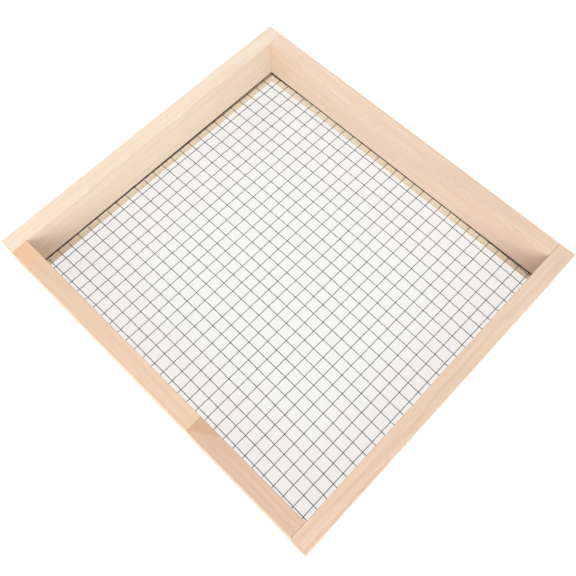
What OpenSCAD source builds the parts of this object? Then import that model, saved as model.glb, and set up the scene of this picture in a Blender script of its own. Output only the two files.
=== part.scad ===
// Shallow wooden frame with a coarse woven wire mesh clamped between boards and battens.
// The origin is at the centre of the underside, +X is the long side, +Y is the back, +Z is up.

/* [Frame] */
// Length of the frame along X
frame_l = 463; // [420:1:520]
// Depth of the frame along Y
frame_d = 420; // [380:1:480]
// Thickness of the boards and battens
board_t = 20; // [18:0.5:25]
// Height of the upright boards above the mesh
board_h = 54; // [50:1:90]
// Height of the battens below the mesh
batten_h = 14; // [12:1:18]

/* [Mesh] */
// Diameter of the wire
wire_d = 1; // [0.8:0.1:1.2]
// Spacing of the crosswise wires along X
pitch_x = 14.29; // [13:0.01:15]
// Spacing of the lengthwise wires along Y
pitch_y = 14.9; // [13:0.01:15]
// How far the mesh is laid off centre along X
shift_x = 3.57; // [-5:0.01:5]
// How far the mesh is laid off centre along Y
shift_y = -3.84; // [-4:0.01:4]
// Distance from the cut edge of the mesh to the outside of the frame
mesh_inset = 4.5; // [4:0.1:6]

/* [Finger joint] */
// Where the joint in the front board lies along X
joint_x = 69; // [57:1:88]
// Length of the fingers
finger_l = 10; // [6:1:12]
// Width of a finger at its tip
finger_tip = 0.8; // [0.5:0.1:1.5]
// Number of fingers up the board
finger_count = 9; // [5:1:11]

/* [Corner nails] */
// Length of a corner nail
corner_nail_l = 50; // [40:1:60]
// Shank diameter of a corner nail
corner_nail_d = 2.2; // [1.8:0.1:2.5]
// Head diameter of a corner nail
corner_head_d = 5; // [4:0.5:6]

/* [Batten nails] */
// Length of a batten nail
batten_nail_l = 30; // [26:1:31]
// Shank diameter of a batten nail
batten_nail_d = 1.8; // [1.4:0.1:2]
// Head diameter of a batten nail
batten_head_d = 4; // [3:0.5:5]

/* [Staples] */
// Width of a staple over its legs
staple_w = 8; // [7:0.5:9]
// Thickness of the staple wire, seen from the front
staple_t = 0.9; // [0.7:0.1:1]
// Breadth of the staple wire, seen from the side
staple_b = 1.2; // [0.8:0.1:1.4]
// Length of a staple leg inside the board
staple_leg = 8; // [6:1:10]

/* [Hidden] */
$fn = 48;
PINE_LIGHT = "#f3dfc0";
PINE_TAN = "#ecc79c";
PINE_PINK = "#e6bf9f";
STEEL = "#8b8884";
ZINC = "#b4b6b8";

// Levels above the underside
crown_z = batten_h;
cross_z = crown_z + staple_t + wire_d / 2;
length_z = cross_z + wire_d;
board_z = length_z + wire_d / 2;
board_top = board_z + board_h;

// Plan of the boards
inner_l = frame_l - 2 * board_t;
inner_d = frame_d - 2 * board_t;
side_x = frame_l / 2 - board_t / 2;
end_y = frame_d / 2 - board_t / 2;

// The cut panel of mesh, and its wires counted from the middle one
mesh_l = frame_l - 2 * mesh_inset;
mesh_d = frame_d - 2 * mesh_inset;
edge_x = mesh_l / 2 - wire_d / 2;
edge_y = mesh_d / 2 - wire_d / 2;
first_cross = ceil((-edge_x - shift_x) / pitch_x);
last_cross = floor((edge_x - shift_x) / pitch_x);
first_length = ceil((-edge_y - shift_y) / pitch_y);
last_length = floor((edge_y - shift_y) / pitch_y);

// How far the cutting shape of the finger joint passes the edges of the board
joint_margin = 1;

// Fasteners
nail_head_t = 1;
nail_point = 3;
corner_nail_z = [33, 57];
nail_count = 4;
staple_count = 6;
staple_point = 1;

// Places of wires and of the cells between them, by number from the middle wire
function wire_x(k) = shift_x + pitch_x * k;
function wire_y(k) = shift_y + pitch_y * k;
function cell_x(k) = wire_x(k + 0.5);
function cell_y(k) = wire_y(k + 0.5);

// The wires, or with an offset of a half the cells, nearest to evenly spread places
function spread(count, length, pitch, offset = 0) = [
    for (i = [0 : count - 1])
        round(((i + 0.5) / count - 0.5) * length / pitch - offset)
];
nail_cells_x = spread(nail_count, inner_l, pitch_x, 0.5);
nail_cells_y = spread(nail_count, inner_d, pitch_y, 0.5);
staple_wires_x = spread(staple_count, inner_l, pitch_x);
staple_cells_y = spread(staple_count, inner_d, pitch_y, 0.5);

// A round wire nail standing on its head, point up
module nail(length, shank_d, head_d) {
    rotate_extrude()
        polygon([
            [0, 0],
            [head_d / 2, 0],
            [head_d / 2, nail_head_t],
            [shank_d / 2, nail_head_t],
            [shank_d / 2, length - nail_point],
            [0, length]
        ]);
}

// A staple with its crown along X and its points up, centred on the wire that it straddles
module staple() {
    half = staple_w / 2;
    leg = half - staple_t;
    tip_z = board_z - crown_z + staple_leg;
    translate([0, staple_b / 2, 0])
        rotate([90, 0, 0])
            linear_extrude(staple_b)
                polygon([
                    [-half, 0],
                    [half, 0],
                    [half, tip_z],
                    [leg, tip_z - staple_point],
                    [leg, staple_t],
                    [-leg, staple_t],
                    [-leg, tip_z - staple_point],
                    [-half, tip_z]
                ]);
}

// Both corner nails at one corner, driven in from the outside of the side board
module corner_nails(side, end) {
    color(ZINC)
        for (z = corner_nail_z)
            translate([side * frame_l / 2, end * end_y, z])
                rotate([0, -side * 90, 0])
                    nail(corner_nail_l, corner_nail_d, corner_head_d);
}

// The nails up through a side batten
module side_batten_nails(side) {
    color(ZINC)
        for (k = nail_cells_y)
            translate([side * side_x, cell_y(k), 0])
                nail(batten_nail_l, batten_nail_d, batten_head_d);
}

// The nails up through the back or front batten, with one into each side board
module end_batten_nails(end) {
    color(ZINC)
        for (x = concat([-side_x, side_x], [for (k = nail_cells_x) cell_x(k)]))
            translate([x, end * end_y, 0])
                nail(batten_nail_l, batten_nail_d, batten_head_d);
}

// The staples over the outermost crosswise wire, under a side board
module side_staples(k) {
    color(ZINC)
        for (cell = staple_cells_y)
            translate([wire_x(k), cell_y(cell), crown_z])
                staple();
}

// The staples over crosswise wires, under the back or front board
module end_staples(end) {
    color(ZINC)
        for (k = staple_wires_x)
            translate([wire_x(k), end * end_y, crown_z])
                staple();
}

// A side board, which runs the full depth and covers the ends of the other boards
module side_board(side) {
    difference() {
        translate([side * side_x - board_t / 2, -frame_d / 2, board_z])
            cube([board_t, frame_d, board_h]);
        corner_nails(side, 1);
        corner_nails(side, -1);
        side_batten_nails(side);
        end_batten_nails(1);
        end_batten_nails(-1);
        side_staples(side < 0 ? first_cross : last_cross);
    }
}

// A full back or front board, fitted between the side boards
module end_board(end) {
    difference() {
        translate([-inner_l / 2, end * end_y - board_t / 2, board_z])
            cube([inner_l, board_t, board_h]);
        corner_nails(-1, end);
        corner_nails(1, end);
        end_batten_nails(end);
        end_staples(end);
    }
}

// The space on one side of the finger joint: -1 is left, 1 is right
module beside_joint(side) {
    step = board_h / finger_count;
    flat = finger_tip / 2;
    fingers = [
        for (i = [0 : finger_count - 1])
            each [
                [joint_x, board_z + i * step + flat],
                [joint_x + finger_l, board_z + (i + 0.5) * step - flat],
                [joint_x + finger_l, board_z + (i + 0.5) * step + flat],
                [joint_x, board_z + (i + 1) * step - flat]
            ]
    ];
    translate([0, -end_y + board_t, 0])
        rotate([90, 0, 0])
            linear_extrude(2 * board_t)
                polygon(concat(
                    [[side * frame_l, board_z - joint_margin], [joint_x, board_z - joint_margin]],
                    fingers,
                    [[joint_x, board_top + joint_margin], [side * frame_l, board_top + joint_margin]]
                ));
}

module left_board() {
    color(PINE_LIGHT) side_board(-1);
}

module right_board() {
    color(PINE_TAN) side_board(1);
}

module back_board() {
    color(PINE_LIGHT) end_board(1);
}

module front_board_left() {
    color(PINE_TAN)
        intersection() {
            end_board(-1);
            beside_joint(-1);
        }
}

module front_board_right() {
    color(PINE_PINK)
        intersection() {
            end_board(-1);
            beside_joint(1);
        }
}

// A side batten, fitted between the back and front battens
module side_batten(side) {
    color(PINE_TAN)
        difference() {
            translate([side * side_x - board_t / 2, -inner_d / 2, 0])
                cube([board_t, inner_d, batten_h]);
            side_batten_nails(side);
        }
}

// A back or front batten, which runs the full length and laps the joint above it
module end_batten(end) {
    color(PINE_TAN)
        difference() {
            translate([-frame_l / 2, end * end_y - board_t / 2, 0])
                cube([frame_l, board_t, batten_h]);
            end_batten_nails(end);
        }
}

// The wires along X, which lie on top
module wires_lengthwise() {
    color(STEEL)
        for (k = [first_length : last_length])
            translate([-mesh_l / 2, wire_y(k), length_z])
                rotate([0, 90, 0])
                    cylinder(d = wire_d, h = mesh_l);
}

// The wires along Y, which lie underneath
module wires_crosswise() {
    color(STEEL)
        for (k = [first_cross : last_cross])
            translate([wire_x(k), mesh_d / 2, cross_z])
                rotate([90, 0, 0])
                    cylinder(d = wire_d, h = mesh_d);
}

left_board();
right_board();
back_board();
front_board_left();
front_board_right();
side_batten(-1);  // left_batten
side_batten(1);  // right_batten
end_batten(1);  // back_batten
end_batten(-1);  // front_batten
wires_lengthwise();
wires_crosswise();
corner_nails(-1, 1);  // corner_nails_back_left
corner_nails(1, 1);  // corner_nails_back_right
corner_nails(-1, -1);  // corner_nails_front_left
corner_nails(1, -1);  // corner_nails_front_right
side_staples(first_cross);  // staples_left
side_staples(last_cross);  // staples_right
end_staples(1);  // staples_back
end_staples(-1);  // staples_front
side_batten_nails(-1);  // batten_nails_left
side_batten_nails(1);  // batten_nails_right
end_batten_nails(1);  // batten_nails_back
end_batten_nails(-1);  // batten_nails_front
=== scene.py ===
import math
import random

import bmesh
import bpy
from mathutils import Matrix, Vector, noise


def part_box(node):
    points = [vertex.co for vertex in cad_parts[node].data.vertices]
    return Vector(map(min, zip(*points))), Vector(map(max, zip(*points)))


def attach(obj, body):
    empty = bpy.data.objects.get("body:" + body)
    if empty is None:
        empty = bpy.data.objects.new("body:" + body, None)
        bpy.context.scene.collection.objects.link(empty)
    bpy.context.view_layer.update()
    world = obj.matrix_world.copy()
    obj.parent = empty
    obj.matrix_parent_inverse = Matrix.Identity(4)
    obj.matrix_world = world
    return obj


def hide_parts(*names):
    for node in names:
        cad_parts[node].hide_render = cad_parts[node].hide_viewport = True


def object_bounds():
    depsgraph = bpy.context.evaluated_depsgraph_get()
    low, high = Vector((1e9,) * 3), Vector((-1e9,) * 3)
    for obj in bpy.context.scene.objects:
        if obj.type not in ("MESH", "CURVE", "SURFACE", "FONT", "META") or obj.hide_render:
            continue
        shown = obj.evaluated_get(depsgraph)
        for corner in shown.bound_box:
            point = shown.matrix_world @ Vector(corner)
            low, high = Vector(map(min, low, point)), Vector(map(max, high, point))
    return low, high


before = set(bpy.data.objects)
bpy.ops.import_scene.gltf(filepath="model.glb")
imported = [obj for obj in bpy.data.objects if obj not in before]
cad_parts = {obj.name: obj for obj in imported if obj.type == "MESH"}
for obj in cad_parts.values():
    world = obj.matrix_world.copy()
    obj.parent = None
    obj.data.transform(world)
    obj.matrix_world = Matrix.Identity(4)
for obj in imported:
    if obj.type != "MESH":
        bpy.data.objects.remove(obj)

# The CAD box, read before the visual model is built
CAD_LOW, CAD_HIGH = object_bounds()

MM = 0.001
X, Y, Z = 0, 1, 2

# Camera: where it looks, from where, and its lens
AIM = Vector((18.5, -15.8, 15.9)) * MM
CAMERA_AZIMUTH = 46.08
CAMERA_ELEVATION = 67.06
CAMERA_DISTANCE = 802.2 * MM
CAMERA_ROLL = -2.09
CAMERA_LENS = 43.74
CAMERA_SENSOR = 36
CAMERA_NEAR = 0.01
CAMERA_FAR = 50

# Boards and battens. SKIN keeps their faces just inside the CAD box.
SKIN = 0.04 * MM
ARRIS = 0.38 * MM
ARRIS_LEAST = 0.2 * MM
ARRIS_WANDER = 0.16 * MM
ARRIS_ROUGH = 0.12 * MM
ARRIS_STEPS = 4
END_ARRIS = 0.2 * MM
STATION_GAP = 6 * MM
FACE_GAP = 9 * MM

# Dents in an arris: how many, and the ranges of their widths and depths in mm
DENTS = 3
DENT_WIDTH = 1.5, 4
DENT_DEPTH = 0.1, 0.45

# Wires
WIRE_SIDES = 8
WIRE_END_GAP = 0.1 * MM
CELL_STEPS = 12
# Share of the crimp that repeats three times in a cell, as the dashes in the photo suggest
INNER_CRIMP = 0.8
SIDE_WANDER = 0.12 * MM
DRIFT = 0.2 * MM
DRIFT_RATE = 17

# The woven panel isn't quite square: each direction is shifted, leans and bows by this much at 200 mm
MESH_REACH = 200 * MM
LENGTHWISE_SHIFT = 0.95 * MM
LENGTHWISE_LEAN = -0.5 * MM
LENGTHWISE_BOW = -2.5 * MM
CROSSWISE_SHIFT = 0.6 * MM
CROSSWISE_LEAN = 0.9 * MM
CROSSWISE_BOW = 0.5 * MM

# Nails: shanks as radii
CORNER_SHANK = 1.1 * MM
BATTEN_SHANK = 0.9 * MM
NAIL_SIDES = 24
NAIL_DOME = 0.12 * MM

# Staples: half the thickness, the eased edges, the bends of the crown and the points of the legs
STAPLE_HALF = 0.43 * MM
STAPLE_EDGE = 0.25 * MM
STAPLE_BEND = 1.1 * MM
STAPLE_BEND_STEPS = 5
STAPLE_POINT = 1.2 * MM
STAPLE_TIP = 0.1 * MM
STAPLE_TIP_SCALE = 0.2

# Noise in the pine: scale along, across and up the board, detail and roughness
PITH_LINE = (4, 9, 9), 2, 0.5
FIBRE = (22, 620, 620), 3, 0.6
FINE_FIBRE = (60, 2300, 2300), 2, 0.6
DUCTS = (110, 1300, 1300), 1, 0.5
COLOUR_DRIFT = (5, 26, 26), 2, 0.5
STREAKS = (5, 170, 170), 2, 0.55
PORES = (900, 2600, 2600), 2, 0.7
SCUFFS = (70, 240, 240), 2, 0.6

# Growth rings: noise in their spacing and strength, and how dark a ring is from its start to its end
RING_SPACING = (0.31, 1, 1), 2, 0.6
RING_STRENGTH = (0.73, 1, 1), 0, 0.5
RING_UNEVEN = 2.2
RING_PROFILE = [(0, 0.0), (0.45, 0.12), (0.78, 0.75), (0.9, 1.0), (1, 0.0)]
PITH_WANDER = 4 * MM

# Pine: marks, relief and gloss
DUCT_TONE = "#a87d4e"
SCUFF_TONE = "#b98d60"
# Painted shade: the near-black tone put on the faces that meet the mesh, for the shadow in the gap under the
# walls
GAP_SHADE_TONE = "#3a2c20"
END_TINT = (0.80, 0.71, 0.60)
ARRIS_BAND = 0.3 * MM, 1.3 * MM
SAW_STEP = 2.3 * MM
PINE_RELIEF = 0.12 * MM
SAWN_BUMP = 0.55
PLANED_BUMP = 0.4
PINE_IOR = 1.42

# Noise in the steel, and its relief
TARNISH = (210, 210, 210), 3, 0.6
SPOTS = (900, 900, 900), 2, 0.6
STEEL_RELIEF = 0.03 * MM
STEEL_BUMP = 0.5

# Studio: a white surround with a darker gap overhead, and lamps as place, size and power
GAP_WIDTH = 0.24
GAP_DEPTH = 0.7
GAP_FADE = 0.5, 1.5
GAP_LEVEL = 0.02
WORLD_LEVEL = 1.02
WORLD_COLOUR = (1, 0.995, 0.985, 1)
LAMP_COLOUR = (0.93, 0.97, 1)
LAMPS = {
    "camera side": ((0.9, -1.15, 0.9), 1.3, 21),
    "left": ((-1.1, 0.2, 1.4), 1.2, 6),
}

# Floor: FLOOR_CHANGE is how far in from the tray's outside its level changes.
# Its glow and whiteness come first under the mesh, and then outside the tray. The glow is painted light:
# the floor shines by itself, more under the mesh than outside, and washes out the shade of the tray on it.
FLOOR_REACH = 6.0
FLOOR_CHANGE = 12 * MM, 6 * MM
FLOOR_PAINTED_GLOW = 0.775, 0.54
FLOOR_WHITE = 0.14, 0.64
FLOOR_PAINTED_GLOW_COLOUR = (1, 0.99, 0.975, 1)
FLOOR_SPECKLE = 0.006
FLOOR_ROUGHNESS = 0.9


# ---------------------------------------------------------------- CAD solids

def cad_bmesh(node):
    """The mesh of a CAD node, with its split vertices welded."""
    mesh = bmesh.new()
    mesh.from_mesh(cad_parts[node].data)
    bmesh.ops.remove_doubles(mesh, verts=mesh.verts, dist=0.001 * MM)
    return mesh


def solids(node):
    """The boxes of the separate solids in a CAD node, as (low, high) corners, in order along the row."""
    mesh = cad_bmesh(node)
    left = set(mesh.verts)
    boxes = []
    while left:
        queue = [left.pop()]
        low, high = queue[0].co.copy(), queue[0].co.copy()
        while queue:
            vertex = queue.pop()
            low = Vector(map(min, low, vertex.co))
            high = Vector(map(max, high, vertex.co))
            for edge in vertex.link_edges:
                other = edge.other_vert(vertex)
                if other in left:
                    left.remove(other)
                    queue.append(other)
        boxes.append((low, high))
    mesh.free()
    return sorted(boxes, key=lambda box: tuple(round(c, 5) for c in box[0]))


# ---------------------------------------------------------------- mesh helpers

def to_object(name, mesh, material):
    """Turns a bmesh into a scene object with one material."""
    bmesh.ops.recalc_face_normals(mesh, faces=mesh.faces)
    data = bpy.data.meshes.new(name)
    mesh.to_mesh(data)
    mesh.free()
    data.materials.append(material)
    piece = bpy.data.objects.new(name, data)
    bpy.context.scene.collection.objects.link(piece)
    return piece


def bridge(mesh, rings, smooth=True):
    """Joins rings of vertices in order and closes both ends. smooth is one value, or one for each side."""
    count = len(rings[0])
    flags = smooth if isinstance(smooth, list) else [smooth] * count
    for here, there in zip(rings, rings[1:]):
        for k in range(count):
            n = (k + 1) % count
            face = mesh.faces.new((here[k], here[n], there[n], there[k]))
            face.smooth = flags[k]
    mesh.faces.new(list(reversed(rings[0])))
    mesh.faces.new(rings[-1])


def sweep(mesh, path, section, binormal, scales=None):
    """Sweeps a closed section, given as (out, side) pairs, along a path."""
    rings = []
    for k, point in enumerate(path):
        before = path[max(k - 1, 0)]
        after = path[min(k + 1, len(path) - 1)]
        tangent = (after - before).normalized()
        out = binormal.cross(tangent).normalized()
        side = tangent.cross(out)
        scale = scales[k] if scales else 1.0
        rings.append([mesh.verts.new(point + out * u * scale + side * v) for u, v in section])
    bridge(mesh, rings)


def revolve(mesh, base, direction, profile, sides):
    """Turns a profile of (radius, distance) pairs about a line from base. It ends in a point."""
    across = direction.orthogonal().normalized()
    other = direction.cross(across)
    rings = []
    for radius, distance in profile[:-1]:
        ring = []
        for k in range(sides):
            a = 2 * math.pi * k / sides
            offset = across * math.cos(a) + other * math.sin(a)
            ring.append(mesh.verts.new(base + direction * distance + offset * radius))
        rings.append(ring)
    for here, there in zip(rings, rings[1:]):
        for k in range(sides):
            n = (k + 1) % sides
            mesh.faces.new((here[k], here[n], there[n], there[k])).smooth = True
    mesh.faces.new(list(reversed(rings[0])))
    tip = mesh.verts.new(base + direction * profile[-1][1])
    for k in range(sides):
        mesh.faces.new((rings[-1][k], rings[-1][(k + 1) % sides], tip)).smooth = True


def cut(piece, nodes):
    """Cuts the shapes of CAD nodes out of a piece, one node at a time."""
    for node in nodes:
        data = bpy.data.meshes.new("cutter")
        mesh = cad_bmesh(node)
        mesh.to_mesh(data)
        mesh.free()
        cutter = bpy.data.objects.new("cutter", data)
        bpy.context.scene.collection.objects.link(cutter)
        modifier = piece.modifiers.new("cut", "BOOLEAN")
        modifier.operation = "DIFFERENCE"
        modifier.solver = "EXACT"
        modifier.object = cutter
        graph = bpy.context.evaluated_depsgraph_get()
        result = bpy.data.meshes.new_from_object(piece.evaluated_get(graph))
        piece.modifiers.clear()
        piece.data = result
        bpy.data.objects.remove(cutter)


# ---------------------------------------------------------------- timber

def rounded_section(half, radii):
    """A rectangle with four rounded corners: its points, and whether each side after a point is round."""
    signs = [(1, 1), (-1, 1), (-1, -1), (1, -1)]

    def corner_point(k, a):
        side_u, side_v = signs[k]
        return (
            side_u * (half[0] - radii[k]) + radii[k] * math.cos(a),
            side_v * (half[1] - radii[k]) + radii[k] * math.sin(a),
        )

    points = []
    flags = []
    for k in range(4):
        for step in range(ARRIS_STEPS + 1):
            points.append(corner_point(k, math.pi / 2 * (k + step / ARRIS_STEPS)))
            flags.append(step < ARRIS_STEPS)
        start = points[-1]
        end = corner_point((k + 1) % 4, math.pi / 2 * (k + 1))
        span = half[0] * 2 if k % 2 == 0 else half[1] * 2
        pieces = max(2, round(span / FACE_GAP))
        for step in range(1, pieces):
            t = step / pieces
            points.append((start[0] + (end[0] - start[0]) * t, start[1] + (end[1] - start[1]) * t))
            flags.append(False)
    return points, flags


def arris_radius(corner, s, seed, dents):
    """The radius of one arris at a distance along it. Each arris reads its own part of the noise."""
    radius = ARRIS + ARRIS_WANDER * noise.noise(Vector((s * 22, corner * 7.3, seed * 3.1)))
    radius += ARRIS_ROUGH * noise.noise(Vector((s * 160, corner * 5.1, seed * 1.7)))
    for place, width, depth in dents[corner]:
        radius += depth * math.exp(-(((s - place) / width) ** 2))
    return max(radius, ARRIS_LEAST)


def timber(name, node, axis, seed, material):
    """A length of timber that fills a CAD node's box. Its eased arrises wander and have small dents."""
    rng = random.Random(seed)
    low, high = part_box(node)
    low = low + Vector((SKIN, SKIN, SKIN))
    high = high - Vector((SKIN, SKIN, SKIN))
    u_axis, v_axis = [a for a in (X, Y, Z) if a != axis]
    centre = (low + high) / 2
    half = ((high[u_axis] - low[u_axis]) / 2, (high[v_axis] - low[v_axis]) / 2)
    length = high[axis] - low[axis]
    dents = [
        [
            (rng.uniform(0, length), rng.uniform(*DENT_WIDTH) * MM, rng.uniform(*DENT_DEPTH) * MM)
            for _ in range(DENTS)
        ]
        for _ in range(4)
    ]
    count = round(length / STATION_GAP)
    stations = [(length * k / count, 0.0) for k in range(1, count)]
    turns = [math.pi / 2 * step / ARRIS_STEPS for step in range(ARRIS_STEPS + 1)]
    start = [(END_ARRIS * (1 - math.cos(a)), END_ARRIS * (1 - math.sin(a))) for a in turns]
    finish = [(length - s, inset) for s, inset in reversed(start)]
    mesh = bmesh.new()
    rings = []
    flags = None
    for s, inset in start + stations + finish:
        radii = [arris_radius(corner, s, seed, dents) for corner in range(4)]
        points, flags = rounded_section((half[0] - inset, half[1] - inset), radii)
        ring = []
        for u, v in points:
            place = centre.copy()
            place[axis] = low[axis] + s
            place[u_axis] += u
            place[v_axis] += v
            ring.append(mesh.verts.new(place))
        rings.append(ring)
    bridge(mesh, rings, flags)
    return to_object(name, mesh, material)


# ---------------------------------------------------------------- wire mesh

def circle(radius, sides):
    """The points of a circle about the origin."""
    return [
        (radius * math.cos(2 * math.pi * k / sides), radius * math.sin(2 * math.pi * k / sides))
        for k in range(sides)
    ]


def warp(axis, s):
    """How far a wire of one direction lies to the side of its straight place, at a place along it."""
    t = s / MESH_REACH
    if axis == X:
        return LENGTHWISE_SHIFT + LENGTHWISE_LEAN * t + LENGTHWISE_BOW * t * t
    return CROSSWISE_SHIFT + CROSSWISE_LEAN * t + CROSSWISE_BOW * t * t


def wire_places(start, end, knots):
    """Where the path of a wire has points: at both ends, and in even steps between its crossings."""
    places = [start]
    for here, there in zip(knots, knots[1:]):
        for step in range(CELL_STEPS):
            s = here + (there - here) * step / CELL_STEPS
            if start + WIRE_END_GAP < s < end - WIRE_END_GAP:
                places.append(s)
    places.append(end)
    return places


def crimped_wires(name, node, axis, crossings, mid_z, phase, seed, material):
    """The wires of one direction, each bent over and under the ones that it crosses."""
    rng = random.Random(seed)
    other = Y if axis == X else X
    gap = crossings[1] - crossings[0]
    binormal = Vector((0, 1, 0)) if axis == X else Vector((1, 0, 0))
    mesh = bmesh.new()
    for index, (low, high) in enumerate(solids(node)):
        radius = (high[Z] - low[Z]) / 2
        middle = (low[other] + high[other]) / 2
        moved = warp(other, middle)
        knots = [c + moved for c in (crossings[0] - gap, *crossings, crossings[-1] + gap)]
        wander = [rng.uniform(-1, 1) * SIDE_WANDER for _ in knots]
        drift_phase = rng.uniform(0, 2 * math.pi)
        drift_size = rng.uniform(-1, 1) * DRIFT
        path = []
        for s in wire_places(low[axis], high[axis], knots):
            k = max(0, min(len(knots) - 2, sum(1 for knot in knots if knot <= s) - 1))
            t = (s - knots[k]) / (knots[k + 1] - knots[k])
            wave = (1 - INNER_CRIMP) * math.cos(math.pi * t) + INNER_CRIMP * math.cos(3 * math.pi * t)
            sign = 1 if (k + index + phase) % 2 else -1
            sideways = wander[k] + (wander[k + 1] - wander[k]) * (3 * t * t - 2 * t ** 3)
            sideways += drift_size * math.sin(drift_phase + s * DRIFT_RATE) + warp(axis, s)
            point = Vector((0, 0, mid_z + sign * radius * wave))
            point[axis] = s
            point[other] = middle + sideways
            path.append(point)
        sweep(mesh, path, circle(radius, WIRE_SIDES), binormal)
    return to_object(name, mesh, material)


# ---------------------------------------------------------------- nails and staples

def nail_profile(length, head, shank):
    """Radius and distance pairs: the domed head, its rim, the neck, the shank and the point."""
    return [
        (head * 0.35, 0.02 * MM),
        (head * 0.7, 0.05 * MM),
        (head * 0.93, NAIL_DOME),
        (head * 0.99, NAIL_DOME + 0.2 * MM),
        (head * 0.97, NAIL_DOME + 0.55 * MM),
        (shank * 1.35, NAIL_DOME + 0.8 * MM),
        (shank * 0.98, NAIL_DOME + 1.3 * MM),
        (shank * 0.98, length - 3.2 * MM),
        (shank * 0.6, length - 1.4 * MM),
        (0, length - 0.1 * MM),
    ]


def nails(name, node, axis, shank, material):
    """The nails of one CAD node, each with a domed head and a point."""
    mesh = bmesh.new()
    for low, high in solids(node):
        base = (low + high) / 2
        outward = -1 if axis == Z else math.copysign(1, base[axis])
        base[axis] = high[axis] if outward > 0 else low[axis]
        direction = Vector((0, 0, 0))
        direction[axis] = -outward
        across = Y if axis == X else X
        head = (high[across] - low[across]) / 2
        profile = nail_profile(high[axis] - low[axis], head, shank)
        revolve(mesh, base, direction, profile, NAIL_SIDES)
    return to_object(name, mesh, material)


def staple_path(low, high):
    """The middle line of a staple: up one leg's point, round the crown, and back to the other point."""
    middle = (low[Y] + high[Y]) / 2
    left = low[X] + STAPLE_HALF
    right = high[X] - STAPLE_HALF
    bend_z = low[Z] + STAPLE_HALF + STAPLE_BEND
    path = [Vector((left, middle, high[Z] - STAPLE_TIP)), Vector((left, middle, high[Z] - STAPLE_POINT))]
    for corner, first in ((left + STAPLE_BEND, math.pi), (right - STAPLE_BEND, 1.5 * math.pi)):
        for step in range(STAPLE_BEND_STEPS + 1):
            a = first + math.pi / 2 * step / STAPLE_BEND_STEPS
            path.append(Vector((
                corner + STAPLE_BEND * math.cos(a),
                middle,
                bend_z + STAPLE_BEND * math.sin(a),
            )))
    path += [Vector((right, middle, high[Z] - STAPLE_POINT)), Vector((right, middle, high[Z] - STAPLE_TIP))]
    return path


def staples(name, node, material):
    """The staples of one CAD node, bent from flat wire with round corners."""
    mesh = bmesh.new()
    for low, high in solids(node):
        path = staple_path(low, high)
        section, _ = rounded_section((STAPLE_HALF, (high[Y] - low[Y]) / 2), [STAPLE_EDGE] * 4)
        scales = [STAPLE_TIP_SCALE] + [1.0] * (len(path) - 2) + [STAPLE_TIP_SCALE]
        sweep(mesh, path, section, Vector((0, 1, 0)), scales)
    return to_object(name, mesh, material)


# ---------------------------------------------------------------- material helpers

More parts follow.
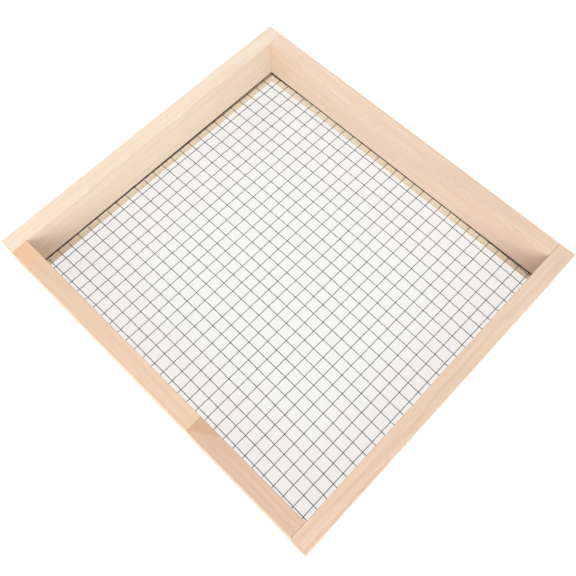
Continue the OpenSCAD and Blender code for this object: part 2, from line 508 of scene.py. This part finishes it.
class Shader:
    """A node material that is built up a socket at a time."""

    def __init__(self, name):
        self.material = bpy.data.materials.new(name)
        self.material.use_nodes = True
        self.tree = self.material.node_tree
        self.tree.nodes.clear()
        self.surface = self.tree.nodes.new("ShaderNodeBsdfPrincipled")
        output = self.tree.nodes.new("ShaderNodeOutputMaterial")
        self.tree.links.new(self.surface.outputs["BSDF"], output.inputs["Surface"])

    def put(self, socket, value):
        """Links a socket, or sets its value."""
        if isinstance(value, bpy.types.NodeSocket):
            self.tree.links.new(value, socket)
        elif isinstance(value, (tuple, list)) and len(value) == 3 and len(socket.default_value) == 4:
            socket.default_value = (*value, 1)
        else:
            socket.default_value = value

    def math(self, operation, a, b=None):
        """One sum on one or two numbers."""
        made = self.tree.nodes.new("ShaderNodeMath")
        made.operation = operation
        self.put(made.inputs[0], a)
        if b is not None:
            self.put(made.inputs[1], b)
        return made.outputs[0]

    def vector(self, operation, a, b=None):
        """One sum on one or two vectors."""
        made = self.tree.nodes.new("ShaderNodeVectorMath")
        made.operation = operation
        self.put(made.inputs[0], a)
        if b is not None:
            self.put(made.inputs[1], b)
        return made.outputs["Value" if operation == "LENGTH" else "Vector"]

    def split(self, value):
        """The X, Y and Z of a vector."""
        made = self.tree.nodes.new("ShaderNodeSeparateXYZ")
        self.put(made.inputs[0], value)
        return made.outputs

    def join(self, x, y, z):
        """A vector from its X, Y and Z."""
        made = self.tree.nodes.new("ShaderNodeCombineXYZ")
        for socket, value in zip(made.inputs, (x, y, z)):
            self.put(socket, value)
        return made.outputs[0]

    def noise(self, place, scale, detail=2.0, roughness=0.5, shift=(0, 0, 0)):
        """Noise from 0 to 1, with its own scale along each axis."""
        made = self.tree.nodes.new("ShaderNodeTexNoise")
        moved = self.vector("ADD", self.vector("MULTIPLY", place, scale), shift)
        self.put(made.inputs["Vector"], moved)
        made.inputs["Scale"].default_value = 1.0
        made.inputs["Detail"].default_value = detail
        made.inputs["Roughness"].default_value = roughness
        return made.outputs["Fac"]

    def spread(self, value, low, high, to_low=0.0, to_high=1.0, smooth=False):
        """Maps one range to another and holds the ends."""
        made = self.tree.nodes.new("ShaderNodeMapRange")
        made.interpolation_type = "SMOOTHSTEP" if smooth else "LINEAR"
        for name, number in (("From Min", low), ("From Max", high), ("To Min", to_low), ("To Max", to_high)):
            made.inputs[name].default_value = number
        self.put(made.inputs["Value"], value)
        return made.outputs["Result"]

    def mix(self, share, a, b, blend="MIX"):
        """Mixes two colours. Inputs 6 and 7 and output 2 are the node's colour sockets."""
        made = self.tree.nodes.new("ShaderNodeMix")
        made.data_type = "RGBA"
        made.blend_type = blend
        self.put(made.inputs["Factor"], share)
        self.put(made.inputs[6], a)
        self.put(made.inputs[7], b)
        return made.outputs[2]

    def shade(self, colour, level):
        """Multiplies a colour by a level that varies."""
        return self.mix(1.0, colour, self.join(level, level, level), "MULTIPLY")

    def ramp(self, value, stops):
        """A grey ramp through (place, level) stops."""
        made = self.tree.nodes.new("ShaderNodeValToRGB")
        band = made.color_ramp
        band.elements[0].position, band.elements[1].position = stops[0][0], stops[-1][0]
        band.elements[0].color = (*[stops[0][1]] * 3, 1)
        band.elements[1].color = (*[stops[-1][1]] * 3, 1)
        for place, level in stops[1:-1]:
            band.elements.new(place).color = (level, level, level, 1)
        self.put(made.inputs[0], value)
        return made.outputs["Color"]

    def bump(self, height, distance, strength):
        """Gives the surface relief from a height that varies."""
        made = self.tree.nodes.new("ShaderNodeBump")
        made.inputs["Strength"].default_value = strength
        made.inputs["Distance"].default_value = distance
        self.put(made.inputs["Height"], height)
        self.put(self.surface.inputs["Normal"], made.outputs["Normal"])

    def object_place(self):
        """The place of a point in the object's own frame, which is the CAD frame."""
        return self.tree.nodes.new("ShaderNodeTexCoord").outputs["Object"]

    def normal(self):
        """The direction in which the face looks."""
        return self.tree.nodes.new("ShaderNodeNewGeometry").outputs["True Normal"]


def tone(code):
    """A colour code such as #e8c9a0 as linear red, green and blue."""
    parts = [int(code[k:k + 2], 16) / 255 for k in (1, 3, 5)]
    return tuple(c / 12.92 if c <= 0.04045 else ((c + 0.055) / 1.055) ** 2.4 for c in parts)


# ---------------------------------------------------------------- pine

def growth_rings(s, place, along, across, up, look):
    """Rings about a pith line that wanders and tapers, from 0 in early wood to 1 in late wood."""
    seed = look["seed"]
    pith_across, pith_up = look["pith"]
    wander_across = s.noise(place, *PITH_LINE, (seed, 1, 1))
    wander_across = s.spread(wander_across, 0, 1, -PITH_WANDER, PITH_WANDER)
    wander_up = s.noise(place, *PITH_LINE, (1, seed, 5))
    wander_up = s.spread(wander_up, 0, 1, -PITH_WANDER, PITH_WANDER)
    side = s.math("ADD", s.math("SUBTRACT", across, pith_across * MM), wander_across)
    rise = s.math("ADD", s.math("SUBTRACT", up, pith_up * MM), wander_up)
    radius = s.vector("LENGTH", s.join(0.0, side, rise))
    radius = s.math("ADD", radius, s.math("MULTIPLY", along, look["taper"]))
    count = s.math("DIVIDE", radius, look["ring"] * MM)
    uneven = s.noise(s.join(count, 0.0, 0.0), *RING_SPACING, (seed * 7, 3, 3))
    count = s.math("ADD", count, s.math("MULTIPLY", uneven, RING_UNEVEN))
    ring = s.ramp(s.math("FRACT", count), RING_PROFILE)
    strength = s.noise(s.join(s.math("FLOOR", count), 0.0, 0.0), *RING_STRENGTH, (seed, 9, 2))
    return s.math("MULTIPLY", ring, s.spread(strength, 0.3, 0.7, 0.25, 1.0))


def arris_band(s, low, high, places):
    """A band beside each arris, from 1 on it to 0 inside. places are pairs: axis, place from the centre."""
    reach = [
        s.math("SUBTRACT", (high[a] - low[a]) / 2, s.math("ABSOLUTE", distance))
        for a, distance in places
    ]
    # A point is near an arris when it is near two faces, so the furthest face is left out
    far = s.math("MAXIMUM", s.math("MAXIMUM", reach[0], reach[1]), reach[2])
    near = s.math("SUBTRACT", s.math("ADD", s.math("ADD", reach[0], reach[1]), reach[2]), far)
    return s.spread(near, *ARRIS_BAND, 1.0, 0.0, smooth=True)


def tint(s, wood, raw, fibre, low, patch):
    """A tint that fades out from one place to another, each in mm from the board's low corner in X and Y."""
    start, finish, colour, share = patch
    run_x = (finish[0] - start[0]) * MM
    run_y = (finish[1] - start[1]) * MM
    length_squared = run_x ** 2 + run_y ** 2
    from_x = s.math("SUBTRACT", raw[X], low[X] + start[0] * MM)
    from_y = s.math("SUBTRACT", raw[Y], low[Y] + start[1] * MM)
    ahead = s.math("MULTIPLY", from_x, run_x / length_squared)
    ahead = s.math("ADD", ahead, s.math("MULTIPLY", from_y, run_y / length_squared))
    ahead = s.math("ADD", ahead, s.spread(fibre, 0.2, 0.8, -0.15, 0.15))
    return s.mix(s.spread(ahead, 0, 1, share, 0, smooth=True), wood, tone(colour))


def paint_gap_shade(s, wood, sawn):
    """Paints shade on the face that lies against the mesh, the top of a batten or the bottom of a board, so
    that the gap at the foot of the walls reads as dark.
    """
    upward = s.split(s.normal())[Z]
    if sawn:
        painted_shade = s.spread(upward, 0.8, 0.95)
    else:
        painted_shade = s.spread(upward, -0.95, -0.8, 1.0, 0.0)
    return s.mix(s.math("MULTIPLY", painted_shade, 0.8), wood, tone(GAP_SHADE_TONE))


def saw_marks(s, along, drift, end):
    """Ridges that a saw leaves across a batten, stronger in some stretches, and none on the end grain."""
    turns = s.math("MULTIPLY", along, 2 * math.pi / SAW_STEP)
    ridges = s.math("SINE", s.math("ADD", turns, s.math("MULTIPLY", drift, 5.0)))
    share = s.math("MULTIPLY", s.math("SUBTRACT", 1.0, end), s.spread(drift, 0, 1, 0.15, 0.5))
    return s.math("MULTIPLY", ridges, share)


def pine(name, node, axis, look, sawn=False):
    """Pine cut from a log: growth rings about a pith, so every face and the end grain agree."""
    s = Shader(name)
    low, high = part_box(node)
    centre = (low + high) / 2
    seed = look["seed"]
    across_axis = Y if axis == X else X
    raw = s.split(s.object_place())
    along = s.math("SUBTRACT", raw[axis], centre[axis])
    across = s.math("SUBTRACT", raw[across_axis], centre[across_axis])
    up = s.math("SUBTRACT", raw[Z], centre[Z])
    place = s.join(along, across, up)
    ring = growth_rings(s, place, along, across, up, look)

    # Fibres, resin ducts, streaks and a slow drift of colour
    fibre = s.noise(place, *FIBRE, (seed, 2, 7))
    fine = s.noise(place, *FINE_FIBRE, (3, seed, 1))
    streak = s.noise(place, *STREAKS, (seed, 6, 3))
    duct = s.spread(s.noise(place, *DUCTS, (seed, 5, 2)), 0.7, 0.8)
    drift = s.spread(s.noise(place, *COLOUR_DRIFT, (seed, seed, 4)), 0.3, 0.7, smooth=True)
    half = (high[axis] - low[axis]) / 2
    run = s.spread(along, -half, half, smooth=True)

    # End grain, and the eased arris
    end = s.spread(s.math("ABSOLUTE", s.split(s.normal())[axis]), 0.5, 0.8)
    pores = s.spread(s.noise(place, *PORES, (2, 2, seed)), 0.35, 0.7, 1.0, 0.72)
    arris = arris_band(s, low, high, ((axis, along), (across_axis, across), (Z, up)))
    scuffs = s.spread(s.noise(place, *SCUFFS, (seed, 8, 8)), 0.42, 0.62)

    # Colour
    wood = s.mix(run, tone(look["start"]), tone(look["finish"]))
    wood = s.mix(s.math("MULTIPLY", drift, 0.55), wood, tone(look["cast"]))
    wood = s.mix(s.math("MULTIPLY", ring, look["contrast"]), wood, tone(look["late"]))
    wood = s.shade(wood, s.spread(fibre, 0.25, 0.75, 0.93, 1.05))
    wood = s.shade(wood, s.spread(fine, 0.25, 0.75, 0.955, 1.04))
    grey = s.spread(streak, 0.3, 0.7, 0.955, 1.035)
    wood = s.mix(1.0, wood, s.join(grey, grey, s.math("MULTIPLY", grey, grey)), "MULTIPLY")
    wood = s.mix(s.math("MULTIPLY", duct, 0.35), wood, tone(DUCT_TONE))
    cut_end = s.mix(1.0, wood, END_TINT, "MULTIPLY")
    wood = s.mix(end, wood, s.shade(cut_end, pores))
    wood = s.mix(s.math("MULTIPLY", s.math("MULTIPLY", arris, scuffs), 0.35), wood, tone(SCUFF_TONE))
    for patch in look.get("patches", []):
        wood = tint(s, wood, raw, fibre, low, patch)
    # Painted shade in the gap between the walls and the mesh
    wood = paint_gap_shade(s, wood, sawn)

    # Relief: the share of each part in the height
    height = s.math("ADD", s.math("MULTIPLY", fibre, 0.7), s.math("MULTIPLY", fine, 0.5))
    height = s.math("ADD", height, s.math("MULTIPLY", ring, 0.25))
    height = s.math("SUBTRACT", height, s.math("MULTIPLY", duct, 0.6))
    if sawn:
        marks = saw_marks(s, along, drift, end)
        height = s.math("ADD", height, marks)
        wood = s.shade(wood, s.spread(marks, -0.5, 0.5, 0.965, 1.03))
    s.bump(height, PINE_RELIEF, SAWN_BUMP if sawn else PLANED_BUMP)

    rough = s.math("ADD", s.spread(fibre, 0.2, 0.8, 0.5, 0.66), s.math("MULTIPLY", end, 0.15))
    rough = s.math("SUBTRACT", rough, s.math("MULTIPLY", ring, 0.08))
    s.put(s.surface.inputs["Base Color"], wood)
    s.put(s.surface.inputs["Roughness"], rough)
    s.surface.inputs["IOR"].default_value = PINE_IOR
    return s.material


# ---------------------------------------------------------------- metal

# Dull, bright and stain colours, roughness, seed, and the scale of the fine lines along X, Y and Z
METALS = {
    "steel.wire": ("#71706f", "#9e9d9c", "#464341", 0.13, 2.0, (300, 300, 300)),
    "steel.nail": ("#8f8f8d", "#b9b9b6", "#6b6259", 0.34, 5.0, (260, 260, 900)),
    "steel.staple": ("#979794", "#bdbdb9", "#77706a", 0.36, 7.0, (700, 200, 200)),
}


def steel(name):
    """Drawn or plated steel with patchy brightness, stains and fine die lines."""
    dull, bright, stain, rough, seed, grain = METALS[name]
    s = Shader(name)
    place = s.object_place()
    patches = s.noise(place, *TARNISH, (seed, 1, 2))
    spots = s.spread(s.noise(place, *SPOTS, (4, seed, 2)), 0.56, 0.7)
    colour = s.mix(s.spread(patches, 0.35, 0.65), tone(dull), tone(bright))
    colour = s.mix(s.math("MULTIPLY", spots, 0.5), colour, tone(stain))
    s.put(s.surface.inputs["Base Color"], colour)
    s.surface.inputs["Metallic"].default_value = 1.0
    s.put(s.surface.inputs["Roughness"], s.spread(patches, 0.3, 0.7, rough - 0.08, rough + 0.12))
    lines = s.noise(place, grain, 2, 0.6, (seed, 4, 4))
    s.bump(s.math("ADD", lines, s.math("MULTIPLY", spots, 0.4)), STEEL_RELIEF, STEEL_BUMP)
    return s.material


# ---------------------------------------------------------------- build

# Boards and battens. pith and ring are in mm: where the pith lies from the middle of the section, across
# and up, and how far apart the rings are. The colours run from the low end to the high end of the board.
LOOKS = {
    "left_board": {
        "seed": 1.7, "pith": (-150, 60), "ring": 1.7, "taper": 0.004, "contrast": 0.22,
        "start": "#e3cfba", "finish": "#e5d2be", "cast": "#e3cdb8", "late": "#cfae85",
    },
    "right_board": {
        "seed": 4.1, "pith": (45, -125), "ring": 2.6, "taper": 0.003, "contrast": 0.25,
        "start": "#d2b5a0", "finish": "#d8bfaa", "cast": "#d5b8a1", "late": "#be9368",
    },
    "back_board": {
        "seed": 2.9, "pith": (-90, 150), "ring": 2.3, "taper": 0.003, "contrast": 0.28,
        "start": "#e2cab7", "finish": "#dabeaa", "cast": "#e1c6ac", "late": "#c29a6c",
    },
    "front_board_left": {
        "seed": 6.3, "pith": (75, -110), "ring": 2.8, "taper": 0.004, "contrast": 0.22,
        "start": "#d1b399", "finish": "#d4b8a2", "cast": "#d1b496", "late": "#c69c6e",
        "patches": [
            ((0.5, 20), (46.5, 7), "#dfae7c", 0.6),
            ((280.5, 0), (263.5, 6), "#cdb48a", 0.5),
        ],
    },
    "front_board_right": {
        "seed": 8.8, "pith": (-60, -92), "ring": 3.2, "taper": 0.012, "contrast": 0.22,
        "start": "#c8a994", "finish": "#caad9a", "cast": "#c8a68f", "late": "#b98a66",
        "patches": [((13.5, 11), (15, 8.8), "#b9835b", 0.38)],
    },
    "left_batten": {
        "seed": 3.3, "pith": (25, -60), "ring": 3.0, "taper": 0.008, "contrast": 0.4,
        "start": "#e6d2ba", "finish": "#e5d0b6", "cast": "#e2cbae", "late": "#c9a679",
    },
    "right_batten": {
        "seed": 5.2, "pith": (-35, 50), "ring": 2.7, "taper": 0.008, "contrast": 0.4,
        "start": "#e5d0b2", "finish": "#e6d3b6", "cast": "#e2cba8", "late": "#c8a477",
    },
    "back_batten": {
        "seed": 7.4, "pith": (40, 45), "ring": 3.3, "taper": 0.007, "contrast": 0.4,
        "start": "#e7d4bc", "finish": "#e6d2b8", "cast": "#e2ccb0", "late": "#c8a577",
    },
    "front_batten": {
        "seed": 9.6, "pith": (-20, -70), "ring": 2.9, "taper": 0.009, "contrast": 0.4,
        "start": "#e5d0b2", "finish": "#e5d1b4", "cast": "#e1c9a6", "late": "#c7a274",
    },
}


def build_timber():
    """Every board and batten, cut for its nails, its staples and its neighbour in the finger joint."""
    corners = {
        "left": ["corner_nails_back_left", "corner_nails_front_left"],
        "right": ["corner_nails_back_right", "corner_nails_front_right"],
        "back": ["corner_nails_back_left", "corner_nails_back_right"],
    }
    ends = ["batten_nails_back", "batten_nails_front"]
    cuts = {
        "left_board": corners["left"] + ends + ["batten_nails_left", "staples_left"],
        "right_board": corners["right"] + ends + ["batten_nails_right", "staples_right"],
        "back_board": corners["back"] + ["batten_nails_back", "staples_back"],
        "front_board_left": [
            "front_board_right", "corner_nails_front_left", "batten_nails_front", "staples_front",
        ],
        "front_board_right": [
            "front_board_left", "corner_nails_front_right", "batten_nails_front", "staples_front",
        ],
        "left_batten": ["batten_nails_left"],
        "right_batten": ["batten_nails_right"],
        "back_batten": ["batten_nails_back"],
        "front_batten": ["batten_nails_front"],
    }
    for node, look in LOOKS.items():
        low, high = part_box(node)
        axis = X if high[X] - low[X] > high[Y] - low[Y] else Y
        sawn = node.endswith("batten")
        material = pine("pine." + node, node, axis, look, sawn)
        piece = timber("timber." + node, node, axis, look["seed"], material)
        cut(piece, cuts[node])
        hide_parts(node)
        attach(piece, "root")


def build_mesh():
    """Both layers of wire, woven over and under each other."""
    lengthwise = solids("wires_lengthwise")
    crosswise = solids("wires_crosswise")
    mid_z = (crosswise[0][0][Z] + lengthwise[0][1][Z]) / 2
    columns = [(low[X] + high[X]) / 2 for low, high in crosswise]
    rows = [(low[Y] + high[Y]) / 2 for low, high in lengthwise]
    wire = steel("steel.wire")
    made = [
        ("mesh.wires_lengthwise", "wires_lengthwise", X, columns, 1, 11),
        ("mesh.wires_crosswise", "wires_crosswise", Y, rows, 0, 12),
    ]
    for name, node, axis, crossings, phase, seed in made:
        piece = crimped_wires(name, node, axis, crossings, mid_z, phase, seed, wire)
        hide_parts(node)
        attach(piece, "root")


def build_fasteners():
    """Nails and staples, each group in place of its CAD node."""
    nail_steel = steel("steel.nail")
    staple_steel = steel("steel.staple")
    for node in sorted(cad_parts):
        if node.startswith("corner_nails"):
            piece = nails("nails." + node, node, X, CORNER_SHANK, nail_steel)
        elif node.startswith("batten_nails"):
            piece = nails("nails." + node, node, Z, BATTEN_SHANK, nail_steel)
        elif node.startswith("staples"):
            piece = staples("staples." + node, node, staple_steel)
        else:
            continue
        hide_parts(node)
        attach(piece, "root")


# ---------------------------------------------------------------- stage

def build_floor():
    """A white floor that meets the white surround. It glows with painted light, more under the mesh than
    outside the tray.
    """
    mesh = bmesh.new()
    bmesh.ops.create_grid(mesh, x_segments=1, y_segments=1, size=FLOOR_REACH)
    s = Shader("stage.floor")
    place = s.split(s.object_place())
    outer, inner = FLOOR_CHANGE
    side = s.spread(s.math("ABSOLUTE", place[X]), CAD_HIGH[X] - outer, CAD_HIGH[X] - inner)
    end = s.spread(s.math("ABSOLUTE", place[Y]), CAD_HIGH[Y] - outer, CAD_HIGH[Y] - inner)
    outside = s.math("MAXIMUM", side, end)
    speckle = s.noise(s.object_place(), (40, 40, 40), 2, 0.5)
    speckle = s.spread(speckle, 0.3, 0.7, -FLOOR_SPECKLE, FLOOR_SPECKLE)
    white = s.math("ADD", s.spread(outside, 0, 1, *FLOOR_WHITE), speckle)
    s.put(s.surface.inputs["Base Color"], s.join(white, white, white))
    # Painted light: the floor glows though it is no lamp, more under the mesh than outside
    s.put(s.surface.inputs["Emission Strength"], s.spread(outside, 0, 1, *FLOOR_PAINTED_GLOW))
    s.surface.inputs["Emission Color"].default_value = FLOOR_PAINTED_GLOW_COLOUR
    s.surface.inputs["Roughness"].default_value = FLOOR_ROUGHNESS
    floor = to_object("stage_floor", mesh, s.material)


def build_world():
    """A white studio with a darker gap overhead, which the wires pick up."""
    world = bpy.data.worlds.new("studio")
    world.use_nodes = True
    tree = world.node_tree
    place = tree.nodes.new("ShaderNodeTexCoord").outputs["Generated"]
    stretch = tree.nodes.new("ShaderNodeVectorMath")
    stretch.operation = "MULTIPLY"
    stretch.inputs[1].default_value = (1 / GAP_WIDTH, 1 / GAP_DEPTH, 0)
    tree.links.new(place, stretch.inputs[0])
    length = tree.nodes.new("ShaderNodeVectorMath")
    length.operation = "LENGTH"
    tree.links.new(stretch.outputs["Vector"], length.inputs[0])
    fade = tree.nodes.new("ShaderNodeMapRange")
    fade.interpolation_type = "SMOOTHSTEP"
    fade.inputs["From Min"].default_value = GAP_FADE[0]
    fade.inputs["From Max"].default_value = GAP_FADE[1]
    fade.inputs["To Min"].default_value = GAP_LEVEL
    fade.inputs["To Max"].default_value = WORLD_LEVEL
    tree.links.new(length.outputs["Value"], fade.inputs["Value"])
    background = tree.nodes["Background"]
    background.inputs["Color"].default_value = WORLD_COLOUR
    tree.links.new(fade.outputs["Result"], background.inputs["Strength"])
    bpy.context.scene.world = world


def build_lights():
    """Round soft lamps that point at the middle of the tray."""
    for name, (place, size, power) in LAMPS.items():
        lamp = bpy.data.lights.new(name, "AREA")
        lamp.shape = "DISK"
        lamp.size = size
        lamp.energy = power
        lamp.color = LAMP_COLOUR
        made = bpy.data.objects.new(name, lamp)
        made.location = place
        made.rotation_euler = (-Vector(place)).to_track_quat("-Z", "Y").to_euler()
        bpy.context.scene.collection.objects.link(made)


def build_camera():
    """The camera at the photo's angle, distance and roll."""
    azimuth = math.radians(CAMERA_AZIMUTH)
    elevation = math.radians(CAMERA_ELEVATION)
    back = Vector((
        math.sin(azimuth) * math.cos(elevation),
        -math.cos(azimuth) * math.cos(elevation),
        math.sin(elevation),
    ))
    lens = bpy.data.cameras.new("camera")
    lens.lens = CAMERA_LENS
    lens.sensor_width = CAMERA_SENSOR
    lens.clip_start = CAMERA_NEAR
    lens.clip_end = CAMERA_FAR
    made = bpy.data.objects.new("camera", lens)
    turn = (-back).to_track_quat("-Z", "Y").to_matrix().to_4x4()
    roll = Matrix.Rotation(math.radians(CAMERA_ROLL), 4, "Z")
    made.matrix_world = Matrix.Translation(AIM + back * CAMERA_DISTANCE) @ turn @ roll
    bpy.context.scene.collection.objects.link(made)
    bpy.context.scene.camera = made
    bpy.context.scene.view_settings.view_transform = "Standard"


build_camera()
build_timber()
build_mesh()
build_fasteners()
build_floor()
build_world()
build_lights()
